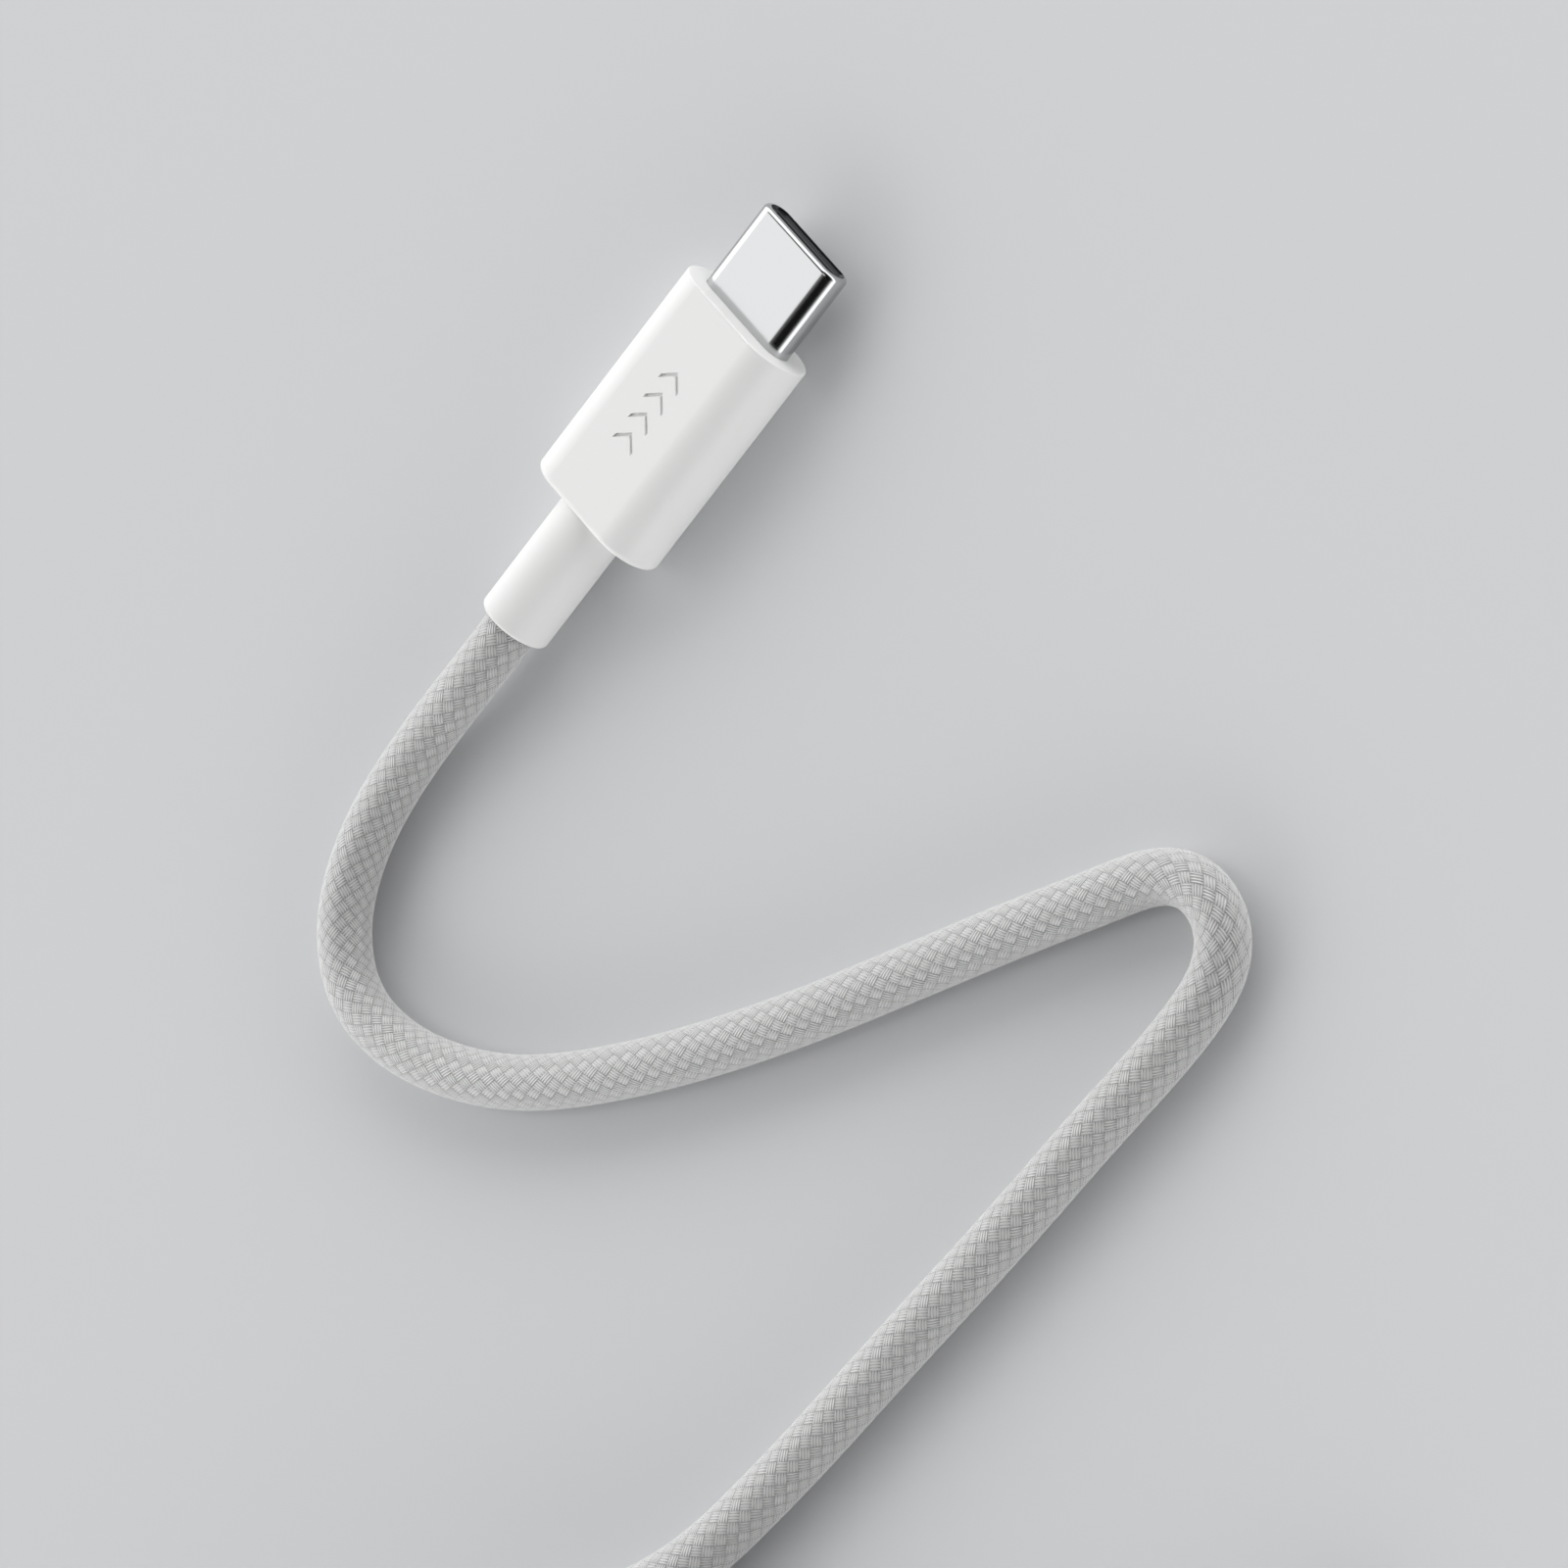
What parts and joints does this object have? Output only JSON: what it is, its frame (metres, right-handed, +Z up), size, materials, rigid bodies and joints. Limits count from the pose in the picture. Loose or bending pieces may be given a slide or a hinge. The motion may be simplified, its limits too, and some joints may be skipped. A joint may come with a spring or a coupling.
{
  "type": "charging cable",
  "caption": "Woven charging cable with a small reversible plug at each end, run out in a bend and coiled under a strap.",
  "frame": {"origin": "under the middle of the near plug's own pieces, on the table that it lies on", "axes": "+X along the near plug to the tip of its steel shell, +Z up, +Y across the plug"},
  "size_m": [0.1248, 0.1039, 0.0104],
  "materials": {
    "plug_steel": "bright drawn steel",
    "insulator": "dark moulded plastic",
    "contact_metal": "gold plated",
    "spring_steel": "plain stamped steel",
    "board": "coated laminate",
    "chip": "moulded",
    "ceramic": "fired",
    "red_wire": "satin",
    "black_wire": "satin",
    "white_wire": "satin",
    "inner_plastic": "moulded",
    "housing_plastic": "satin gloss white",
    "relief_rubber": "smooth soft white",
    "woven_sleeve": "fine white weave",
    "strap_fabric": "plain woven strap"
  },
  "bodies": {
    "cable": {"near_plug_shell": "plug_steel", "near_contact_housing": "insulator", "near_upper_contacts": "contact_metal", "near_lower_contacts": "contact_metal", "near_ground_plate": "spring_steel", "near_ground_springs": "spring_steel", "near_circuit_board": "board", "near_marker_chip": "chip", "near_capacitors": "ceramic", "near_power_wire": "red_wire", "near_ground_wire": "black_wire", "near_signal_wires": "white_wire", "near_upper_shield": "spring_steel", "near_lower_shield": "spring_steel", "near_inner_mould": "inner_plastic", "near_housing": "housing_plastic", "near_strain_relief": "relief_rubber", "near_crimp_ferrule": "spring_steel", "near_cable_end": "woven_sleeve", "far_plug_shell": "plug_steel", "far_contact_housing": "insulator", "far_upper_contacts": "contact_metal", "far_lower_contacts": "contact_metal", "far_ground_plate": "spring_steel", "far_ground_springs": "spring_steel", "far_circuit_board": "board", "far_marker_chip": "chip", "far_capacitors": "ceramic", "far_power_wire": "red_wire", "far_ground_wire": "black_wire", "far_signal_wires": "white_wire", "far_upper_shield": "spring_steel", "far_lower_shield": "spring_steel", "far_inner_mould": "inner_plastic", "far_housing": "housing_plastic", "far_strain_relief": "relief_rubber", "far_crimp_ferrule": "spring_steel", "far_cable_end": "woven_sleeve", "cable_free_run": "woven_sleeve", "cable_coil": "woven_sleeve", "cable_tail": "woven_sleeve", "coil_tie": "strap_fabric"},
    "near_left_latch": {"near_left_latch": "spring_steel"},
    "near_right_latch": {"near_right_latch": "spring_steel"},
    "far_left_latch": {"far_left_latch": "spring_steel"},
    "far_right_latch": {"far_right_latch": "spring_steel"}
  },
  "joints": [
    {"name": "near_left_latch_flex", "type": "hinge", "parent": "cable", "child": "near_left_latch", "pos_m": [0.00628, 0.00353, 0.00275], "axis": [0, 0, 1], "range_deg": [0, 1], "stiffness_Nm_per_rad": 0.12},
    {"name": "near_right_latch_flex", "type": "hinge", "parent": "cable", "child": "near_right_latch", "pos_m": [0.00628, -0.00353, 0.00275], "axis": [0, 0, 1], "range_deg": [-1, 0], "stiffness_Nm_per_rad": 0.12},
    {"name": "far_left_latch_flex", "type": "hinge", "parent": "cable", "child": "far_left_latch", "pos_m": [-0.0315, -0.08937, 0.00275], "axis": [0, 0, 1], "range_deg": [0, 1], "stiffness_Nm_per_rad": 0.12},
    {"name": "far_right_latch_flex", "type": "hinge", "parent": "cable", "child": "far_right_latch", "pos_m": [-0.0315, -0.09643, 0.00275], "axis": [0, 0, 1], "range_deg": [-1, 0], "stiffness_Nm_per_rad": 0.12}
  ]
}
